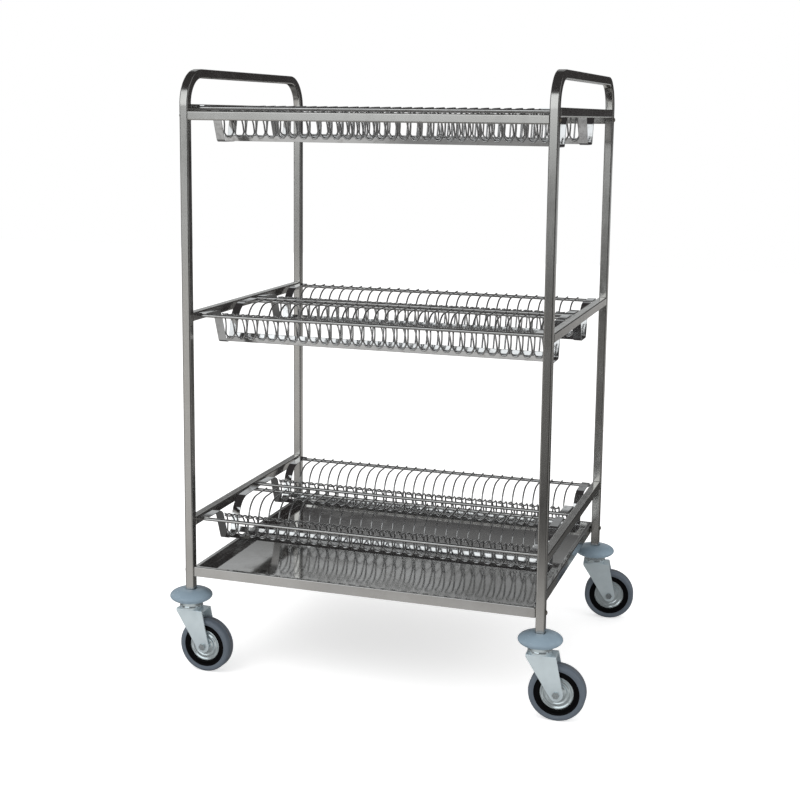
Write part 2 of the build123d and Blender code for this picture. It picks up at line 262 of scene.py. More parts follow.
@dataclass(frozen=True)
class TraySheet(Finish):
    """Smooth rolled sheet with a mill grain along X, water marks and fine scratches."""

    tone: Colour = (0.69, 0.69, 0.685)
    stain: Colour = (0.6, 0.59, 0.57)
    rough: float = 0.07

    def dress(self, paint: Paint) -> None:
        """Grain runs along X; ring-shaped water marks come from bands of broad noise."""
        grain = paint.noise(paint.place(Space.PLACE, (14.0, 1500.0, 600.0)), detail=3.0)
        cloud = paint.noise(paint.place(Space.PLACE), scale=14.0, detail=5.0, rough=0.6)
        scratch = paint.noise(paint.place(Space.PLACE, (120.0, 9.0, 30.0)), detail=5.0, rough=0.7)
        scratch = scratch.over(0.68, 0.06)
        rings = paint.node("ShaderNodeMath", {"operation": "PINGPONG"}, {0: cloud * 6.0, 1: 0.5})
        rings = rings.over(0.45, 0.1)
        stains = cloud.over(0.55, 0.4) * 0.7 + rings * 0.12
        rough = (grain - 0.5) * 0.06 + cloud.over(0.6, 0.3) * 0.05 + rings * 0.03 + scratch * 0.06
        paint.close({
            "Base Color": paint.mix(stains, self.tone, self.stain), "Metallic": 1.0,
            "Roughness": rough + self.rough,
            "Normal": paint.bump(grain * 0.6 + scratch * 0.4, 0.00001, 0.3),
        })


@dataclass(frozen=True)
class ZincPlate(Finish):
    """Bright zinc plating: pale blue, a little cloudy, with faint pressing marks."""

    tone: Colour = (0.78, 0.88, 0.92)
    cloudy: Colour = (0.68, 0.77, 0.81)
    rough: float = 0.22
    metal: float = 0.4

    def dress(self, paint: Paint) -> None:
        """Two scales of noise cloud the plating and a fine one roughens it."""
        cloud = paint.noise(paint.place(Space.PLACE), scale=45.0, detail=5.0, rough=0.6)
        fine = paint.noise(paint.place(Space.PLACE, (1.0, 1.0, 0.4)), scale=900.0, detail=3.0)
        paint.close({
            "Base Color": paint.mix((cloud - 0.5) * 1.8 + 0.5, self.cloudy, self.tone),
            "Metallic": self.metal,
            "Roughness": (cloud - 0.5) * 0.16 + (fine - 0.5) * 0.1 + self.rough,
            "Normal": paint.bump(fine * 0.4 + cloud * 0.6, 0.00012, 0.4),
        })


@dataclass(frozen=True)
class SoftRubber(Finish):
    """Moulded rubber or soft plastic: matt, faintly mottled, with thin pale scuffs here and there."""

    tone: Colour = (0.32, 0.42, 0.5)
    shade: Colour = (0.26, 0.34, 0.41)
    scuff: Colour = (0.5, 0.57, 0.63)
    rough: float = 0.42
    wear: float = 0.25
    gleam: float = 0.5
    seam: float = 0.0
    seam_tone: Colour = (0.13, 0.085, 0.06)

    def dress(self, paint: Paint) -> None:
        """Broad noise mottles the tone, fine noise gives a moulded skin, and thin scuffs are paler."""
        mottle = paint.noise(paint.place(Space.PLACE), scale=30.0, detail=4.0, rough=0.55)
        skin = paint.noise(paint.place(Space.PLACE), scale=1300.0, detail=2.0)
        scuffs = paint.noise(paint.place(Space.PLACE, (1.0, 1.0, 3.5)), scale=95.0, detail=6.0, rough=0.7)
        scuffs = scuffs.over(0.63, 0.1)
        tone = paint.mix((mottle - 0.5) * 1.5 + 0.5, self.shade, self.tone)
        if self.seam:
            round_it = paint.node("ShaderNodeSeparateXYZ", inputs={0: paint.place(Space.ALONG)})
            away = paint.node("ShaderNodeMath", {"operation": "ABSOLUTE"}, {0: round_it - self.seam})
            tone = paint.mix((1.0 - away.over(0.0011, 0.0008)) * 0.75, tone, self.seam_tone)
        paint.close({
            "Base Color": paint.mix(scuffs * self.wear, tone, self.scuff),
            "Roughness": (mottle - 0.5) * 0.14 + scuffs * 0.14 + self.rough,
            "Specular IOR Level": self.gleam,
            "Normal": paint.bump(skin * 0.5 + mottle * 0.5, 0.00012, 0.35),
        })


FRAME_STEEL = GroundSteel("ground frame steel")
WIRE_STEEL = BrightWire("polished rack steel")
ROD_STEEL = BrightWire("drawn rod steel", tone=(0.56, 0.56, 0.56), dull=(0.45, 0.44, 0.42), rough=0.16)
STRIP_STEEL = BrightWire("polished strip steel", tone=(0.74, 0.75, 0.76), rough=0.07)
TRAY_STEEL = TraySheet("rolled tray sheet")
ZINC = ZincPlate("bright zinc plate")
CUP_ZINC = ZincPlate("bearing cup zinc", rough=0.11, metal=0.8)
# A darker copy of the zinc plate: painted shade on the axle and its bolt head.
SHADED_AXLE_ZINC = ZincPlate(
    "axle zinc", tone=(0.56, 0.62, 0.64), cloudy=(0.46, 0.51, 0.53), rough=0.2, metal=0.8
)
DISC_ZINC = ZincPlate(
    "wheel disc zinc", tone=(0.8, 0.89, 0.92), cloudy=(0.7, 0.79, 0.82), rough=0.14, metal=0.7
)
BOLT_STEEL = GroundSteel(
    "plain bolt steel", tone=(0.5, 0.46, 0.4), dull=(0.3, 0.27, 0.23), space=Space.PLACE,
    grain=(700.0, 700.0, 700.0), rough=0.36,
)
BUMPER_SKIN = SoftRubber("soft blue-grey bumper", rough=0.2, wear=0.12)
TYRE_RUBBER = SoftRubber(
    "grey tyre rubber", tone=(0.148, 0.178, 0.215), shade=(0.12, 0.145, 0.178),
    scuff=(0.24, 0.24, 0.24), rough=0.5, wear=0.3, seam=0.0303,
)
RIM_BLACK = SoftRubber(
    "black wheel centre", tone=(0.004, 0.004, 0.005), shade=(0.003, 0.003, 0.003),
    scuff=(0.012, 0.012, 0.012), rough=0.5, wear=0.15, gleam=0.06,
)

# Surfaces


@dataclass
class Shell:
    """A mesh in the making: points, four-sided faces with their UV corners, and flat caps."""

    points: np.ndarray
    quads: np.ndarray
    corners: np.ndarray
    caps: list[np.ndarray] = field(default_factory=list)

    def __add__(self, other: "Shell") -> "Shell":
        """Put two shells in one mesh."""
        shift = len(self.points)
        return Shell(
            np.concatenate([self.points, other.points]),
            np.concatenate([self.quads, other.quads + shift]),
            np.concatenate([self.corners, other.corners]),
            self.caps + [cap + shift for cap in other.caps],
        )

    def repeated(self, moves: np.ndarray) -> "Shell":
        """Copy the shell to each move: point k,i is point i plus move k."""
        count, size = len(moves), len(self.points)
        points = (self.points[None] + moves[:, None]).reshape(-1, 3)
        quads = (self.quads[None] + size * np.arange(count)[:, None, None]).reshape(-1, 4)
        caps = [cap + size * k for k in range(count) for cap in self.caps]
        return Shell(points, quads, np.tile(self.corners, (count, 1, 1)), caps)

    def piece(self, name: str, finish: Finish, body: str, *nodes: str, slot: str = "") -> bpy.types.Object:
        """Make the Blender object and tie it to the frame; flat caps get points of their own.

        Args:
            name: the piece's name.
            finish: its finish.
            body: the body it rides on.
            nodes: the CAD nodes that it stands for.
            slot: material slot of the record; not used.

        Returns:
            The object, with its place in its mesh.
        """
        mesh = bpy.data.meshes.new(name)
        sizes = np.array([4] * len(self.quads) + [len(cap) for cap in self.caps], dtype=np.int32)
        points = np.concatenate([self.points, *[self.points[cap] for cap in self.caps]])
        cap_loops = np.arange(len(self.points), len(points))
        loops = np.concatenate([self.quads.ravel(), cap_loops]).astype(np.int32)
        flat = [self.points[cap][:, :2] * MM for cap in self.caps]
        uv = np.concatenate([self.corners.reshape(-1, 2) * MM, *flat])
        mesh.vertices.add(len(points))
        mesh.vertices.foreach_set("co", (points * MM).astype(np.float32).ravel())
        mesh.loops.add(len(loops))
        mesh.loops.foreach_set("vertex_index", loops)
        mesh.polygons.add(len(sizes))
        starts = np.concatenate([[0], np.cumsum(sizes)[:-1]]).astype(np.int32)
        mesh.polygons.foreach_set("loop_start", starts)
        mesh.polygons.foreach_set("loop_total", sizes)
        smooth = np.ones(len(sizes), dtype=bool)
        smooth[len(self.quads):] = False
        mesh.update(calc_edges=True)
        mesh.polygons.foreach_set("use_smooth", smooth)
        mesh.uv_layers.new(name="UVMap").data.foreach_set("uv", uv.astype(np.float32).ravel())
        mesh.validate()
        made = bpy.data.objects.new(name, mesh)
        bpy.context.scene.collection.objects.link(made)
        mesh.materials.append(finish.material())
        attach(made, body)
        if nodes:
            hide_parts(*nodes)
        log.info("%s: %d faces on %s", name, len(sizes), body)
        return made


def lengths(points: np.ndarray) -> np.ndarray:
    """Return the running length along a line of points, starting at 0."""
    steps = np.linalg.norm(np.diff(points, axis=0), axis=1)
    return np.concatenate([[0.0], np.cumsum(steps)])


def grid(points: np.ndarray, closed_path: bool, closed_section: bool, caps: bool) -> Shell:
    """Join an array of points [path, section, xyz] into four-sided faces.

    Args:
        points: grid of points.
        closed_path: the last ring joins the first.
        closed_section: the last point of a ring joins its first.
        caps: close both end rings with flat faces.

    Returns:
        The shell; UV runs round the section and along the path, in millimetres.
    """
    rings, size = points.shape[:2]
    i = np.arange(rings if closed_path else rings - 1)[:, None]
    j = np.arange(size if closed_section else size - 1)[None, :]
    a, b = i % rings, (i + 1) % rings
    c, d = j % size, (j + 1) % size
    quads = np.stack([a * size + c, b * size + c, b * size + d, a * size + d], -1).reshape(-1, 4)
    along = lengths(np.concatenate([points.mean(axis=1), points[:1].mean(axis=1)]))
    section = points[rings // 2]
    round_it = lengths(np.concatenate([section, section[:1]]))
    zero = 0 * (i + j)
    u0, u1, v0, v1 = round_it[j] + zero, round_it[j + 1] + zero, along[i] + zero, along[i + 1] + zero
    turns = ((u0, v0), (u0, v1), (u1, v1), (u1, v0))
    corners = np.stack([np.stack(turn, -1) for turn in turns], 2)
    ends = [np.arange(size), (rings - 1) * size + np.arange(size)[::-1]] if caps else []
    return Shell(points.reshape(-1, 3), quads, corners.reshape(-1, 4, 2), ends)


def carried(path: np.ndarray, section: np.ndarray, normal: np.ndarray, closed: bool = False) -> Shell:
    """Carry a closed section along a path.

    Point (i, j) is path point i plus section x times the side vector plus section y times the normal,
    where the side vector is the path's direction crossed with the normal.

    Args:
        path: points of the path.
        section: outline (x, y), anticlockwise.
        normal: one vector, or one for each point, across the path.
        closed: the path is a loop; an open one gets flat ends.

    Returns:
        The swept shell, facing outwards.
    """
    if closed:
        ahead = np.roll(path, -1, axis=0) - np.roll(path, 1, axis=0)
    else:
        ahead = np.gradient(path, axis=0)
    ahead /= np.linalg.norm(ahead, axis=1, keepdims=True)
    normal = np.broadcast_to(normal, path.shape)
    normal = normal - (normal * ahead).sum(axis=1, keepdims=True) * ahead
    normal = normal / np.linalg.norm(normal, axis=1, keepdims=True)
    side = np.cross(ahead, normal)
    points = path[:, None] + section[None, :, :1] * side[:, None] + section[None, :, 1:] * normal[:, None]
    return grid(points, closed, True, not closed)


def turned(profile: np.ndarray, centre: np.ndarray, axis: np.ndarray, steps: int) -> Shell:
    """Turn a closed profile round an axis.

    Point (i, j) is the centre plus the profile's first value along the axis plus its second value,
    the radius, in the direction of angle i.

    Args:
        profile: closed outline (along, radius), clockwise as seen with the radius upwards.
        centre: a point of the axis.
        axis: unit vector.
        steps: points round the circle.

    Returns:
        The turned shell, facing outwards.
    """
    first = np.cross(axis, (0.0, 0.0, 1.0)) if abs(axis[2]) < 0.9 else np.array([1.0, 0.0, 0.0])
    first = first / np.linalg.norm(first)
    second = np.cross(axis, first)
    angle = np.linspace(0, tau, steps, endpoint=False)
    out = np.cos(angle)[:, None] * first + np.sin(angle)[:, None] * second
    points = centre + profile[None, :, :1] * axis + profile[None, :, 1:] * out[:, None]
    return grid(points, True, True, False)


def rounded(
    points: list[tuple[float, float]], radii: list[float], steps: int, flat: float = 0.0
) -> np.ndarray:
    """Round the corners of an open line.

    Each corner becomes an arc tangent to its two runs: its start lies radius times the tangent of half
    the turn before the corner, and a point at angle a is the arc's centre plus the radius turned by a.

    Args:
        points: corners of the line in a plane.
        radii: one radius for each inner corner.
        steps: parts of each arc.
        flat: adds a point this far before and after each arc, which keeps the runs flat in smooth shading.

    Returns:
        The points of the rounded line.
    """
    p = np.array(points, dtype=float)
    parts = [p[:1]]
    for before, corner, after, radius in zip(p[:-2], p[1:-1], p[2:], radii):
        arrive = (corner - before) / np.linalg.norm(corner - before)
        leave = (after - corner) / np.linalg.norm(after - corner)
        turn = np.arctan2(arrive[0] * leave[1] - arrive[1] * leave[0], arrive @ leave)
        cut = radius * np.tan(abs(turn) / 2)
        inward = np.sign(turn) * np.array([-arrive[1], arrive[0]])
        middle = corner - arrive * cut + inward * radius
        angle = np.linspace(0, turn, steps + 1)[:, None]
        arc = middle + radius * (np.sign(turn) * np.sin(angle) * arrive - np.cos(angle) * inward)
        parts += [arc[:1] - flat * arrive, arc, arc[-1:] + flat * leave] if flat else [arc]
    parts.append(p[-1:])
    return np.concatenate(parts)


def rounded_box(
    width: float, height: float, radius: float, steps: int = 3, flat: float = 0.5
) -> np.ndarray:
    """Draw a rectangle with round corners, with a point on each flat beside each arc.

    Args:
        width: size along x.
        height: size along y.
        radius: radius of the corners.
        steps: parts of each arc.
        flat: distance of the points beside the arcs.

    Returns:
        The outline, anticlockwise.
    """
    angle = np.concatenate([[0.0], np.linspace(0, pi / 2, steps + 1), [pi / 2]])
    shift = np.zeros((len(angle), 2))
    shift[0], shift[-1] = (0.0, -flat), (-flat, 0.0)
    arc = radius * np.stack([np.cos(angle), np.sin(angle)], -1) + shift
    corner = np.array([width / 2 - radius, height / 2 - radius])
    turns = [((1, 1), 0), ((-1, 1), 1), ((-1, -1), 2), ((1, -1), 3)]
    parts = []
    for sign, quarter in turns:
        c, s = cos(quarter * pi / 2), sin(quarter * pi / 2)
        parts.append(arc @ np.array([[c, s], [-s, c]]) + corner * sign)
    return np.concatenate(parts)


def circle(radius: float, sides: int) -> np.ndarray:
    """Return a round outline, anticlockwise."""
    angle = np.arange(sides) * tau / sides
    return radius * np.stack([np.cos(angle), np.sin(angle)], -1)


def upright(line: np.ndarray, x: float, y: float = 0.0, z: float = 0.0) -> np.ndarray:
    """Stand a line of (y, z) points up in the plane of one X."""
    return np.stack([np.full(len(line), x), line[:, 0] + y, line[:, 1] + z], -1)


def beaded(loop: np.ndarray, radius: float, ripple: float = 0.22, scale: float = 1.8) -> Shell:
    """Lay a weld bead along a closed loop; its line waves by a sine of the running length.

    Args:
        loop: points of the loop.
        radius: radius of the bead.
        ripple: height of the waves.
        scale: length of one wave.

    Returns:
        The bead.
    """
    ring = np.concatenate([loop, loop[:1]])
    run = lengths(ring)
    count = max(24, int(run[-1] / (scale / 2)))
    at = np.linspace(0, run[-1], count, endpoint=False)
    path = np.stack([np.interp(at, run, ring[:, k]) for k in range(3)], -1)
    middle = path.mean(axis=0)
    outward = path - middle
    outward /= np.linalg.norm(outward, axis=1, keepdims=True)
    path += outward * (ripple * np.sin(at * tau / scale))[:, None]
    return carried(path, circle(radius, 6), outward, closed=True)


# The object


@dataclass
class TubeFrame:
    """Two side frames bent from square tube, their welded rails and the two bolted cross rails."""

    width: float = 850.0
    depth: float = 680.0
    height: float = 1384.0
    tube: float = 20.0
    corner: float = 2.5
    bend: float = 70.0
    foot: float = 172.3
    cross_drop: float = 15.0
    weld: float = 0.25
    fit: float = 0.3
    bead: float = 1.3

    def outline(self) -> np.ndarray:
        """Return the tube's section."""
        return rounded_box(self.tube, self.tube, self.corner)

    def side_frame(self, sign: int) -> Shell:
        """Carry the section up one post, over the handle and down the other post."""
        post_y, top = (self.depth - self.tube) / 2, self.height - self.tube / 2
        corners = [(-post_y, self.foot), (-post_y, top), (post_y, top), (post_y, self.foot)]
        line = upright(rounded(corners, [self.bend] * 2, 18, 3.0), sign * (self.width - self.tube) / 2)
        return carried(line, self.outline(), np.array([1.0, 0.0, 0.0]))

    def side_rails(self, sign: int) -> Shell:
        """Lay one tube on each level and a bead round each of its ends.

        Args:
            sign: -1 for the left side, 1 for the right one.

        Returns:
            The side's rails.
        """
        x, reach = sign * (self.width - self.tube) / 2, self.depth / 2 - self.tube - self.weld
        box = rounded_box(self.tube - 1.0, self.tube - 1.0, self.corner)
        shells = []
        for level in Level:
            z = level.value - self.tube / 2
            ends = np.array([[x, -reach, z], [x, reach, z]])
            shells.append(carried(ends, self.outline(), np.array([0.0, 0.0, 1.0])))
            for end in (-1, 1):
                loop = np.stack([box[:, 0] + x, np.full(len(box), end * reach), box[:, 1] + z], -1)
                shells.append(beaded(loop, self.bead))
        return sum(shells[1:], shells[0])

    def cross_rail(self, end: int) -> Shell:
        """Lay one tube along X between the side frames."""
        reach, y = self.width / 2 - self.tube - self.fit, end * (self.depth - self.tube) / 2
        z = Level.TOP.value - self.cross_drop - self.tube / 2
        return carried(np.array([[-reach, y, z], [reach, y, z]]), self.outline(), np.array([0.0, 0.0, 1.0]))

    def build(self) -> None:
        """Make the frame's pieces in place of its CAD nodes."""
        made = []
        for side, sign in (("left", -1), ("right", 1)):
            made.append((self.side_frame(sign), f"bent_side_frame_{side}", f"side_frame_{side}"))
            made.append((self.side_rails(sign), f"welded_rails_{side}", f"side_rails_{side}"))
        for end, sign in (("front", -1), ("rear", 1)):
            made.append((self.cross_rail(sign), f"{end}_cross_rail", f"{end}_top_rail"))
        for shell, name, node in made:
            shell.piece(name, FRAME_STEEL, "frame", node, slot="tube_steel")


@dataclass
class PlateRack:
    """One trough: two rods, two end straps, a strip along each wall, a waved front wire and back bars."""

    level: Level
    row: Row
    span: float = 278.0
    rod: float = 8.0
    rod_drop: float = 8.0
    rod_reach: float = 404.75
    wire: float = 4.0
    slot: float = 26.3
    waves: int = 29
    depth: float = 83.0
    wire_depth: float = 80.0
    wave_depth: float = 73.5
    shoulder_drop: float = 4.5
    front: tuple[float, float] = (72.0, 103.0)
    rear: tuple[float, float] = (177.0, 158.0)
    bends: tuple[float, float] = (25.0, 50.0)
    lap: float = 4.0
    strap: float = 20.5
    sheet: float = 2.0
    strap_from_middle: float = 400.0
    strip: float = 14.0
    weld: float = 0.25
    crest: tuple[float, float] = (45.0, -10.0)
    wall_turns: tuple[tuple[float, float], ...] = ((97.0, -40.0), (82.0, -13.0))
    wall_bends: tuple[float, ...] = (60.0, 22.0)
    wave_sole: float = 4.5
    wave_flank: tuple[float, float] = (11.6, 10.5)
    wave_neck: float = 3.6
    wave_bends: tuple[float, ...] = (5.5, 9.0, 9.2)
    wave_end: float = 12.0
    bead: float = 0.9
    bead_ripple: float = 0.12
    bead_stand: float = 0.3

    def name(self, part: str) -> str:
        """Return a piece or node name of this rack."""
        return f"{self.level.name.lower()}_{self.row.name.lower()}_rack_{part}"

    def wall_point(self, wall: tuple[float, float], drop: float) -> tuple[float, float]:
        """Return the point (y, z) of a straight wall line at a depth under the rail top."""
        share = (drop - self.shoulder_drop) / (self.depth - self.shoulder_drop)
        return wall[0] + (wall[1] - wall[0]) * share, -drop

    def stand(self, line: np.ndarray, x: float = 0.0) -> np.ndarray:
        """Place a rack line (y, z) in the trolley."""
        return upright(line, x, self.row.value, self.level.value)

    def rods(self) -> Shell:
        """Lay both rods along X, with a bead round each end."""
        shells = []
        for y in (0.0, self.span):
            place = np.array([0.0, self.row.value + y, self.level.value - self.rod_drop])
            ends = place + np.array([[-self.rod_reach, 0, 0], [self.rod_reach, 0, 0]])
            shells.append(carried(ends, circle(self.rod / 2, 16), np.array([0.0, 0.0, 1.0])))
            ring = circle(self.rod / 2 + self.bead_stand, 16)
            for end in (-1, 1):
                x = np.full(16, end * (self.rod_reach - self.bead_stand))
                loop = place + np.stack([x, ring[:, 0], ring[:, 1]], -1)
                shells.append(beaded(loop, self.bead, self.bead_ripple))
        return sum(shells[1:], shells[0])

    def straps(self) -> Shell:
        """Carry a flat section down, along and up at both ends, and lay a strip inside each wall."""
        start = self.rod / 2 - self.rod_drop + self.weld + self.sheet / 2
        (front_top, front_foot), (rear_top, rear_foot) = self.front, self.rear
        line = rounded(
            [
                (-self.lap, start), (front_top, -self.shoulder_drop), (front_foot, -self.depth),
                (rear_foot, -self.depth), (rear_top, -self.shoulder_drop), (self.span + self.lap, start),
            ],
            [self.bends[0], 8.0, 8.0, self.bends[1]], 8,
        )
        middle = self.strap_from_middle - self.strap / 2
        section = rounded_box(self.sheet, self.strap, 0.7, 2, 0.2)
        band = carried(self.stand(line), section, np.array([1.0, 0.0, 0.0]))
        shells = band.repeated(np.array([[-middle, 0.0, 0.0], [middle, 0.0, 0.0]]))
        reach = self.strap_from_middle - self.strap - self.weld
        for top, foot in (self.front, self.rear):
            up = np.array([top - foot, self.depth - self.shoulder_drop])
            up /= np.linalg.norm(up)
            inward = np.array([up[1], -up[0]]) * (1 if top < foot else -1)
            centre = np.array([foot, -self.depth]) + up * self.strip / 2
            centre = centre + inward * (self.wire / 2 + self.weld + self.sheet / 2)
            ends = np.array([[-reach, 0.0, 0.0], [reach, 0.0, 0.0]]) + self.stand(centre[None])
            section = rounded_box(self.sheet, self.strip, 0.6, 2, 0.2)
            shells += carried(ends, section, np.array([0.0, *up]))
        return shells

    def back_bars(self) -> Shell:
        """Bend one bar from the rear rod down the rear wall and copy it behind every slot."""
        start = self.rod / 2 - self.rod_drop + self.weld + self.wire / 2
        foot = self.wall_point(self.rear, self.wire_depth)
        corners = [(self.span, start), (self.rear[0], -self.shoulder_drop), foot]
        line = rounded(corners, [self.bends[1]], 7)
        bar = carried(self.stand(line), circle(self.wire / 2, 6), np.array([1.0, 0.0, 0.0]))
        places = (np.arange(self.waves - 1) - (self.waves - 2) / 2) * self.slot
        return bar.repeated(np.stack([places, 0 * places, 0 * places], -1))

    def half_wave(self, top: float) -> np.ndarray:
        """Return half a wave of the flat wire, from the middle of a bottom bend to the middle of a crest.

        Args:
            top: length of the wall from the bottom bends to the crests.

        Returns:
            Points (x, s), with extra points along the leg, which later follows the wall's curve.
        """
        flank, neck = self.wave_flank, (self.wave_neck, top)
        corners = [(0.0, 0.0), (self.wave_sole, 0.0), flank, neck, (self.slot / 2, top)]
        line = rounded(corners, list(self.wave_bends), 3)
        gap = int(np.argmax(np.linalg.norm(np.diff(line, axis=0), axis=1)))
        share = np.linspace(0, 1, 6)[1:-1, None]
        leg = line[gap] + (line[gap + 1] - line[gap]) * share
        return np.concatenate([line[: gap + 1], leg, line[gap + 1:]])

    def waved_wire(self) -> Shell:
        """Bend one wire into waves that hang down the front wall.

        The wave is drawn flat first, as x against the length s up the wall. Half a wave is mirrored and
        repeated, and the wall line then gives y and z for each s.
        """
        corners = [self.wall_point(self.front, self.wave_depth), *self.wall_turns, self.crest]
        wall = rounded(corners, list(self.wall_bends), 8)
        run = lengths(wall)
        rise = self.half_wave(run[-1])
        fall = np.stack([self.slot - rise[-2:0:-1, 0], rise[-2:0:-1, 1]], -1)
        wave = np.concatenate([rise, fall])
        first = -(self.waves - 1) / 2 * self.slot
        starts = np.stack([first + self.slot * np.arange(self.waves - 1), np.zeros(self.waves - 1)], -1)
        middle = (wave[None] + starts[:, None]).reshape(-1, 2)
        leg = rise[rise[:, 1] < run[-1] - self.wave_end]
        end = np.array([[first, 0.0]]) + leg[::-1] * (-1, 1)
        path = np.concatenate([end[:-1], middle, end[::-1] * (-1, 1)])
        slope = np.gradient(wall, run, axis=0)
        y, z = (np.interp(path[:, 1], run, wall[:, k]) for k in (0, 1))
        dy, dz = (np.interp(path[:, 1], run, slope[:, k]) for k in (0, 1))
        points = np.stack([path[:, 0], y + self.row.value, z + self.level.value], -1)
        return carried(points, circle(self.wire / 2, 6), np.stack([0 * dy, dz, -dy], -1))

    def build(self) -> None:
        """Make the rack's pieces in place of its CAD nodes."""
        for shell, name, finish, node in (
            (self.rods(), "round_rods", ROD_STEEL, "rods"),
            (self.straps(), "bent_straps", STRIP_STEEL, "straps"),
            (self.back_bars() + self.waved_wire(), "bent_wires", WIRE_STEEL, "dividers"),
        ):
            shell.piece(self.name(name), finish, "frame", self.name(node), slot="wire_steel")


@dataclass
class DripTray:
    """The folded tray: a floor, coved walls, a flat rim and a lip that hangs from it."""

    half_x: float = 404.7
    half_y: float = 340.0
    top: float = 248.0
    lip: float = 23.0
    rim: float = 10.0
    sheet: float = 1.2
    lift: float = 3.0
    corner: float = 4.0

    def profile(self) -> np.ndarray:
        """Return the folded sheet's outline as (inset, z), from under the floor round the lip to it."""
        low, sheet, rim = self.top - self.lip, self.sheet, self.rim
        under = [
            (70.0, low + self.lift), (rim - sheet, low + self.lift), (rim - sheet, self.top - sheet),
            (sheet, self.top - sheet), (sheet, low), (0.0, low), (0.0, self.top), (rim, self.top),
            (rim, low + self.lift + sheet), (70.0, low + self.lift + sheet),
        ]
        return rounded(under, [3.0, 0.8, 0.8, 0.4, 0.4, 1.8, 1.8, 2.2], 4, 0.3)

    def build(self) -> None:
        """Carry the outline round the tray: at each inset the loop is a rectangle with round corners."""
        inset, height = self.profile().T
        angle = np.linspace(0, pi / 2, 6)
        turn = np.concatenate([angle + k * pi / 2 for k in range(4)])
        sign = np.repeat(np.array([[1, 1], [-1, 1], [-1, -1], [1, -1]]), 6, axis=0)
        half = np.array([self.half_x, self.half_y]) - self.corner
        middle = sign[:, None] * (half[None, None] - inset[None, :, None])
        round_xy = self.corner * np.stack([np.cos(turn), np.sin(turn)], -1)[:, None]
        place = middle + round_xy
        level = np.broadcast_to(height[None, :, None], (len(turn), len(height), 1))
        points = np.concatenate([place, level], -1)
        shell = grid(points, True, False, False)
        size = len(height)
        floor = np.arange(len(turn)) * size
        shell.caps = [floor[::-1], floor + size - 1]
        shell.piece("folded_drip_tray", TRAY_STEEL, "frame", "drip_tray", slot="tray_steel")


@dataclass
class Fasteners:
    """Round-headed bolts through the posts."""

    half_width: float = 425.0
    half_depth: float = 330.0
    rail_z: float = 1281.0
    tray_z: float = 236.5
    head: float = 5.5
    shank: float = 3.0
    rail_reach: float = 40.0
    tray_reach: float = 27.0

    def bolts(self, z: float, reach: float) -> Shell:
        """Turn a domed head with its shank at each post.

        Args:
            z: height of the row.
            reach: length of the shank.

        Returns:
            The row's four bolts.
        """
        profile = np.array([
            (-reach, 0.03), (-reach, self.shank), (0.05, self.shank), (0.05, self.head), (0.9, self.head),
            (1.9, self.head - 0.45), (3.0, self.head - 1.7), (3.7, self.head - 3.4), (4.0, 0.03),
        ])
        shells = [
            turned(
                profile, np.array([side * self.half_width, end * self.half_depth, z]),
                np.array([side, 0.0, 0.0]), 20,
            )
            for side in (-1.0, 1.0) for end in (-1.0, 1.0)
        ]
        return sum(shells[1:], shells[0])

    def build(self) -> None:
        """Make both rows of bolts."""
        rail, tray = (self.rail_z, self.rail_reach), (self.tray_z, self.tray_reach)
        for kind, (z, reach) in (("rail", rail), ("tray", tray)):
            shell = self.bolts(z, reach)
            shell.piece(f"domed_{kind}_bolts", BOLT_STEEL, "frame", f"{kind}_bolts", slot="bolt_steel")


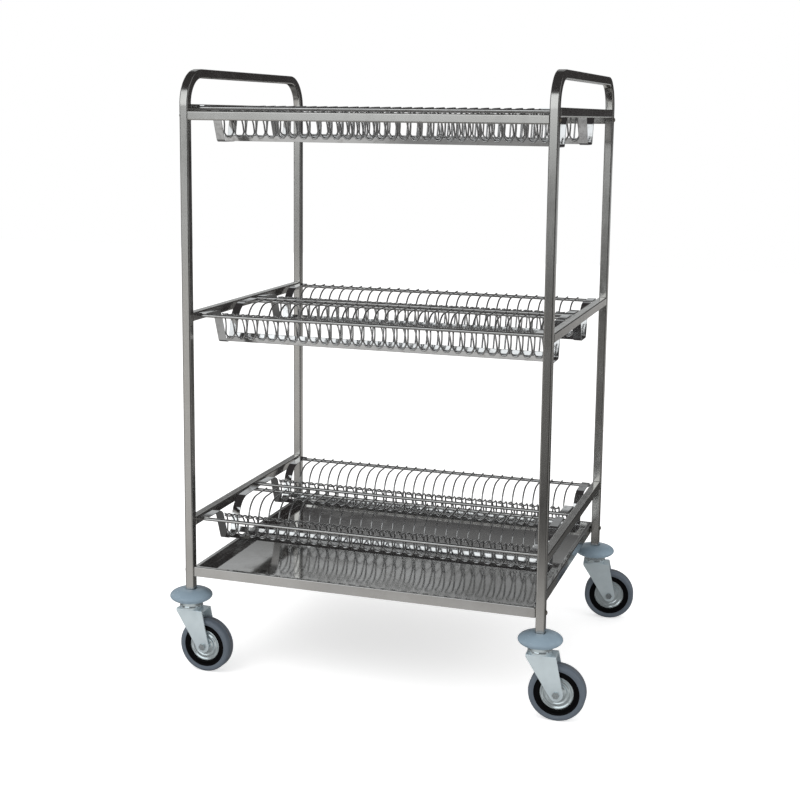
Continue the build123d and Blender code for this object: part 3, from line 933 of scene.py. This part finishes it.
@dataclass
class Castor:
    """One swivel castor with its round bumper; the heading is the wheel's trail, in degrees from +X."""

    place: str
    side: int
    end: int
    heading: float
    trail: float = 40.0
    wheel: float = 125.0
    seat: float = 172.0
    bumper: float = 98.0
    bumper_thick: float = 32.0
    bumper_rise: float = 20.3
    cup_bore: float = 27.3
    pivot_x: float = 415.0
    pivot_y: float = 330.0

    def __post_init__(self) -> None:
        """Work out the pin's place and the wheel's directions."""
        turn = radians(self.heading)
        self.back = np.array([cos(turn), sin(turn), 0.0])
        self.across = np.array([-sin(turn), cos(turn), 0.0])
        self.pivot = np.array([self.side * self.pivot_x, self.end * self.pivot_y, 0.0])
        self.axle = self.pivot + self.back * self.trail + np.array([0.0, 0.0, self.wheel / 2])

    def bumper_disc(self) -> Shell:
        """Shape the bumper as a cushion with a square hole above and a round bore for the cup below.

        At angle a and share t the radius runs from the hole's edge to the rim. The height over the middle
        is half the thickness times the root of one less a power of radius over rim, pressed down near the
        hole into a shallow dish.
        """
        turn = np.linspace(0, tau, 96, endpoint=False)[:, None]
        hole = 10.3 / np.maximum(np.abs(np.cos(turn)), np.abs(np.sin(turn)))
        hole = np.minimum(hole, 13.2)
        rim, half, bore = self.bumper / 2, self.bumper_thick / 2, self.cup_bore
        share = np.array([[
            0.0, 0.02, 0.06, 0.16, 0.3, 0.44, 0.56, 0.68, 0.78, 0.86, 0.92, 0.96, 0.985, 0.996, 1.0,
        ]])
        upper_r = hole + (rim - hole) * share
        full = np.sqrt(np.clip(1 - (upper_r / rim) ** 2.3, 0, 1))
        upper_z = half * full - 1.1 * (share < 0.01) - 0.25 * (share == 0.02)
        under = np.array([0.0, 0.03, 0.12, 0.28, 0.45, 0.62, 0.76, 0.86, 0.93, 0.97, 0.992])[None, :]
        lower_r = bore + (rim - bore) * under + 0 * turn
        lower_z = -half * np.sqrt(np.clip(1 - (lower_r / rim) ** 2.3, 0, 1))
        seat = self.seat + 0.3 - (self.seat + self.bumper_rise - half)
        inner_r = np.concatenate([hole, bore + 0 * turn], axis=1)
        inner_z = np.full(inner_r.shape, seat)
        radius = np.concatenate([inner_r, lower_r, upper_r[:, ::-1]], axis=1)
        height = np.concatenate([inner_z, lower_z, upper_z[:, ::-1]], axis=1)
        z = height + self.seat + self.bumper_rise - half
        points = np.stack([np.cos(turn) * radius, np.sin(turn) * radius, z], -1) + self.pivot
        return grid(points, True, True, False)

    def cup(self) -> Shell:
        """Turn the upper bearing cup with its boss, pin and pin head, and add the square plug."""
        profile = np.array([
            (140.0, 0.05), (140.0, 10.2), (140.6, 11.0), (143.95, 11.0), (143.95, 6.0), (150.55, 6.0),
            (150.55, 15.0), (151.4, 15.4), (151.4, 25.6), (151.0, 26.2), (151.4, 26.9), (153.4, 27.0),
            (154.4, 26.3), (155.6, 26.1), (160.0, 26.5), (165.6, 26.8), (169.4, 24.6), (171.6, 22.0),
            (172.0, 18.0), (172.0, 0.05),
        ])
        plug = np.array([[0.0, 0.0, 172.0], [0.0, 0.0, 215.0]]) + self.pivot
        square = carried(plug, rounded_box(16.9, 16.9, 1.0), np.array([0.0, 1.0, 0.0]))
        return turned(profile, self.pivot, np.array([0.0, 0.0, 1.0]), 72) + square

    def tyre(self) -> Shell:
        """Turn the tyre: flat tread with a fine seam round its middle, round shoulders and a lip."""
        half = [
            (14.2, 50.0), (14.9, 50.4), (15.3, 51.4), (15.1, 52.4), (15.6, 53.4), (16.0, 54.8), (16.0, 57.4),
            (15.4, 59.4), (14.1, 61.0), (12.4, 62.0), (10.4, 62.45), (8.0, 62.5), (1.3, 62.5), (0.7, 62.2),
            (0.5, 61.9),
        ]
        profile = np.array([(-a, r) for a, r in half] + half[::-1])
        return turned(profile, self.axle, self.across, 128)

    def rim(self) -> Shell:
        """Turn the black wheel centre: a web with a raised ring that carries the tyre."""
        half = [
            (8.0, 10.1), (8.0, 36.4), (9.5, 37.5), (13.2, 37.9), (14.0, 38.6), (14.0, 42.0), (13.2, 43.0),
            (13.2, 47.4), (14.0, 48.4), (14.0, 49.9),
        ]
        profile = np.array([(-a, r) for a, r in half] + half[::-1])
        return turned(profile, self.axle, self.across, 96)

    def discs(self) -> Shell:
        """Turn a pressed disc with rings on each side of the wheel and the hub between them."""
        face = [
            (8.1, 37.3), (10.3, 37.4), (11.0, 36.8), (11.2, 35.2), (11.0, 33.4), (9.9, 32.2), (9.6, 30.6),
            (9.9, 28.8), (11.0, 27.4), (11.3, 25.6), (10.9, 23.8), (10.3, 22.6), (10.3, 19.6), (11.4, 18.2),
            (12.0, 16.0), (12.0, 12.4), (13.6, 10.6), (18.7, 10.0), (18.75, 4.1), (8.1, 4.1),
        ]
        out = np.array(face)
        shells = [turned(out[::-1], self.axle, sign * self.across, 96) for sign in (1, -1)]
        core = np.array([(-8.1, 4.1), (-8.1, 9.9), (8.1, 9.9), (8.1, 4.1)])
        return shells[0] + shells[1] + turned(core, self.axle, self.across, 48)

    def build(self) -> None:
        """Make the castor's turned pieces and dress the fork and axle."""
        node = f"castor_{self.place}"
        wheel = f"wheel_{self.place}"
        for shell, name, finish, body, end, slot in (
            (self.bumper_disc(), "bumper_disc", BUMPER_SKIN, "frame", "bumper", "bumper_rubber"),
            (self.cup(), "bearing_cup", CUP_ZINC, "frame", "stem", "zinc_steel"),
            (self.tyre(), "seamed_tyre", TYRE_RUBBER, wheel, "tyre", "tyre_rubber"),
            (self.rim(), "ringed_rim", RIM_BLACK, wheel, "rim", "rim_plastic"),
            (self.discs(), "pressed_discs", DISC_ZINC, wheel, "hub", "zinc_steel"),
        ):
            shell.piece(f"{node}_{name}", finish, body, f"{node}_{end}", slot=slot)
        carry_over(f"{node}_fork", ZINC)
        # The axle gets the darker zinc: painted shade at the middle of the wheel.
        carry_over(f"{node}_axle", SHADED_AXLE_ZINC)


def carry_over(node: str, finish: Finish) -> None:
    """Dress a CAD node that keeps its shape.

    Args:
        node: the node's name.
        finish: its finish, given to each of the node's material slots.
    """
    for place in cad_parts[node].material_slots:
        place.material = finish.material()
    log.info("%s: %s", node, finish.name)


@dataclass(frozen=True)
class Panel:
    """A patch of the surroundings that polished steel mirrors.

    The heading and its half width are in degrees from +Y towards +X; low and high are elevations.
    """

    heading: float
    half: float
    low: float
    high: float
    grey: float
    soft: float = 0.1

    def seen(self, paint: Paint, level_way: Signal, climb: Signal | None) -> Signal:
        """Work out the panel's light: its grey inside its heading and heights, and nothing outside.

        Args:
            paint: builder of the node tree.
            level_way: the direction's flat part, of length one.
            climb: the direction's z, or nothing where heights don't matter.

        Returns:
            The light.
        """
        aim = (sin(radians(self.heading)), cos(radians(self.heading)), 0.0)
        settings = {"operation": "DOT_PRODUCT"}
        facing = paint.node("ShaderNodeVectorMath", settings, {0: level_way, 1: aim}, "Value")
        light = facing.over(cos(radians(self.half)), self.soft) * self.grey
        if climb is not None:
            light = light * climb.over(sin(radians(self.low)), 0.03)
            light = light * (1.0 - climb.over(sin(radians(self.high)), 0.03))
        return light


@dataclass
class Studio:
    """White surroundings with grey panels for the steel to mirror, lamps, a pale floor and the camera."""

    place: Colour = (0.99953, -3.13833, 1.28458)
    yaw: float = 0.3133
    pitch: float = 0.157
    roll: float = 0.0112
    lens: float = 62.49
    shift: float = -0.08
    ambient: float = 0.72
    gloom: float = 0.035
    panels: tuple[Panel, ...] = (
        Panel(-169.0, 13.0, -1.0, 42.0, 1.1, 0.02),
        Panel(-147.0, 10.0, 1.2, 42.0, 1.0, 0.01),
        Panel(-147.0, 10.0, -30.0, -1.5, 0.64, 0.01),
        Panel(-169.0, 12.0, -12.0, -2.0, 0.14, 0.02),
        Panel(-20.0, 20.0, 3.0, 12.5, 0.5, 0.03),
        Panel(-27.0, 9.0, 17.4, 36.0, 0.46, 0.02),
        Panel(-7.0, 12.0, 17.4, 36.0, 0.26, 0.02),
        Panel(3.0, 16.0, -14.0, -1.4, 0.46, 0.02),
        Panel(60.0, 10.0, -14.0, 40.0, 0.4, 0.04),
        Panel(-60.0, 10.0, -14.0, 40.0, 0.4, 0.04),
        Panel(100.0, 10.0, -14.0, 45.0, 0.5, 0.04),
        Panel(-95.0, 10.0, -14.0, 40.0, 0.5, 0.04),
    )
    # Painted light on the floor, seen only by glossy rays.
    floor_panels: tuple[Panel, ...] = (
        Panel(-147.0, 11.0, 0.0, 0.0, 0.58, 0.02),
        Panel(-169.0, 12.0, 0.0, 0.0, 0.14, 0.02),
        Panel(-2.0, 20.0, 0.0, 0.0, 0.44, 0.03),
        Panel(60.0, 12.0, 0.0, 0.0, 0.4),
        Panel(-60.0, 12.0, 0.0, 0.0, 0.4),
        Panel(100.0, 12.0, 0.0, 0.0, 0.5),
        Panel(-95.0, 12.0, 0.0, 0.0, 0.5),
    )

    def flat_way(self, paint: Paint, way: Signal) -> Signal:
        """Return a direction's flat part, brought to length one."""
        inputs = {0: way, 1: (1.0, 1.0, 0.0)}
        flat = paint.node("ShaderNodeVectorMath", {"operation": "MULTIPLY"}, inputs, "Vector")
        return paint.node("ShaderNodeVectorMath", {"operation": "NORMALIZE"}, {0: flat}, "Vector")

    def world(self) -> None:
        """Paint the surroundings: white to the camera, even to matt surfaces, panelled to polished ones."""
        made = bpy.data.worlds.new("studio surroundings")
        made.use_nodes = True
        bpy.context.scene.world = made
        paint = Paint(made.node_tree)
        way = paint.node("ShaderNodeTexCoord", output="Generated")
        climb = paint.node("ShaderNodeSeparateXYZ", inputs={0: way}, output=2)
        flat = self.flat_way(paint, way)
        shine = sum((panel.seen(paint, flat, climb) for panel in self.panels), 0.0) + self.gloom
        shades = {0: shine * 0.965 + 0.004, 1: shine * 0.995, 2: shine}
        grey = paint.node("ShaderNodeCombineColor", inputs=shades)
        light = paint.node("ShaderNodeLightPath", output="Is Glossy Ray")
        seen = paint.node("ShaderNodeLightPath", output="Is Camera Ray")
        even = (self.ambient, self.ambient, self.ambient)
        colour = paint.mix(seen, paint.mix(light, even, grey), (1.0, 1.0, 1.0))
        shade = paint.node("ShaderNodeBackground", inputs={"Color": colour, "Strength": 1.0})
        end = paint.tree.nodes.new("ShaderNodeOutputWorld")
        paint.tree.links.new(shade.socket, end.inputs["Surface"])

    def floor(self) -> None:
        """Lay a pale floor: white to the camera outside the shadow, and to polished steel a painted glow of
        panels, with painted shadow under the trolley and painted light in front.
        """
        mesh = bpy.data.meshes.new("pale_floor")
        mesh.from_pydata([(-9, -9, 0), (9, -9, 0), (9, 9, 0), (-9, 9, 0)], [], [(0, 1, 2, 3)])
        made = bpy.data.objects.new("pale_floor", mesh)
        bpy.context.scene.collection.objects.link(made)
        material = bpy.data.materials.new("pale floor")
        material.use_nodes = True
        paint = Paint(material.node_tree)
        way = paint.place(Space.PLACE)
        reach = paint.node("ShaderNodeVectorMath", {"operation": "LENGTH"}, {0: way}, "Value")
        flat = self.flat_way(paint, way)
        far = sum((panel.seen(paint, flat, None) for panel in self.floor_panels), 0.0) + self.gloom
        # Painted shadow and light for glossy rays: dim under and behind the trolley, bright in front of it.
        near = 1.0 - reach.over(1.3, 0.9)
        ahead = 1.0 - paint.node("ShaderNodeSeparateXYZ", inputs={0: way}, output=1).over(-0.52, 0.24)
        shine = far * (1.0 - near) + near * (ahead * 0.46 + 0.1)
        shades = {0: shine, 1: shine * 0.985, 2: shine * 0.96}
        grey = paint.node("ShaderNodeCombineColor", inputs=shades)
        grain = paint.noise(way, scale=3.0)
        seen = paint.node("ShaderNodeLightPath", output="Is Camera Ray")
        mirrored = paint.node("ShaderNodeLightPath", output="Is Glossy Ray")
        pale = paint.mix(grain, (0.86, 0.86, 0.86), (0.88, 0.88, 0.88))
        glow = paint.mix(seen, (0.0, 0.0, 0.0), (0.58, 0.58, 0.58))
        paint.close({
            "Base Color": paint.mix(mirrored, pale, (0.0, 0.0, 0.0)), "Roughness": 0.9,
            "Specular IOR Level": 0.0, "Emission Color": paint.mix(mirrored, glow, grey),
            "Emission Strength": 1.0,
        })
        mesh.materials.append(material)

    def lamp(self, name: str, place: Colour, aim: Colour, size: float, power: float) -> None:
        """Hang one square area lamp.

        Args:
            name: the lamp's name.
            place: where it hangs, in metres.
            aim: the point that it looks at.
            size: its side, in metres.
            power: its power in watts.
        """
        data = bpy.data.lights.new(name, "AREA")
        data.shape, data.size, data.energy = "SQUARE", size, power
        made = bpy.data.objects.new(name, data)
        bpy.context.scene.collection.objects.link(made)
        made.location = place
        look = Vector(aim) - Vector(place)
        made.rotation_mode = "QUATERNION"
        made.rotation_quaternion = look.to_track_quat("-Z", "Y")
        made.visible_glossy = False

    def camera(self) -> None:
        """Stand the camera at the photograph's viewing angle, with a small shift."""
        yaw, pitch, roll = self.yaw, self.pitch, self.roll
        ahead = np.array([-sin(yaw) * cos(pitch), cos(yaw) * cos(pitch), -sin(pitch)])
        right = np.array([cos(yaw), sin(yaw), 0.0])
        up = np.cross(right, ahead)
        side = right * cos(roll) + up * sin(roll)
        above = up * cos(roll) - right * sin(roll)
        data = bpy.data.cameras.new("camera")
        data.sensor_width, data.lens, data.shift_y = 36.0, self.lens, self.shift
        made = bpy.data.objects.new("camera", data)
        bpy.context.scene.collection.objects.link(made)
        turn = Matrix(np.stack([side, above, -ahead], axis=1).tolist())
        made.matrix_world = Matrix.Translation(self.place) @ turn.to_4x4()
        bpy.context.scene.camera = made

    def build(self) -> None:
        """Set up everything round the object."""
        bpy.context.scene.view_settings.view_transform = "Standard"
        self.world()
        self.floor()
        self.lamp("key softbox", (-1.6, -2.4, 3.4), (0.0, 0.0, 0.6), 2.4, 42.0)
        self.lamp("right softbox", (3.2, -0.6, 2.4), (0.0, 0.0, 0.7), 1.8, 16.0)
        self.camera()


def main() -> None:
    """Build the trolley on its frame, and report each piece."""
    logging.basicConfig(level=logging.INFO, format="%(name)s: %(message)s")
    TubeFrame().build()
    for level in Level:
        for row in Row:
            PlateRack(level, row).build()
    DripTray().build()
    Fasteners().build()
    for place, side, end, heading in (
        ("front_left", -1, -1, -3.0), ("front_right", 1, -1, 3.0),
        ("rear_left", -1, 1, 176.0), ("rear_right", 1, 1, 8.0),
    ):
        Castor(place, side, end, heading).build()
    carry_over("rail_inserts", BOLT_STEEL)
    carry_over("tray_nuts", BOLT_STEEL)
    Studio().build()


if __name__ == "__main__":
    main()
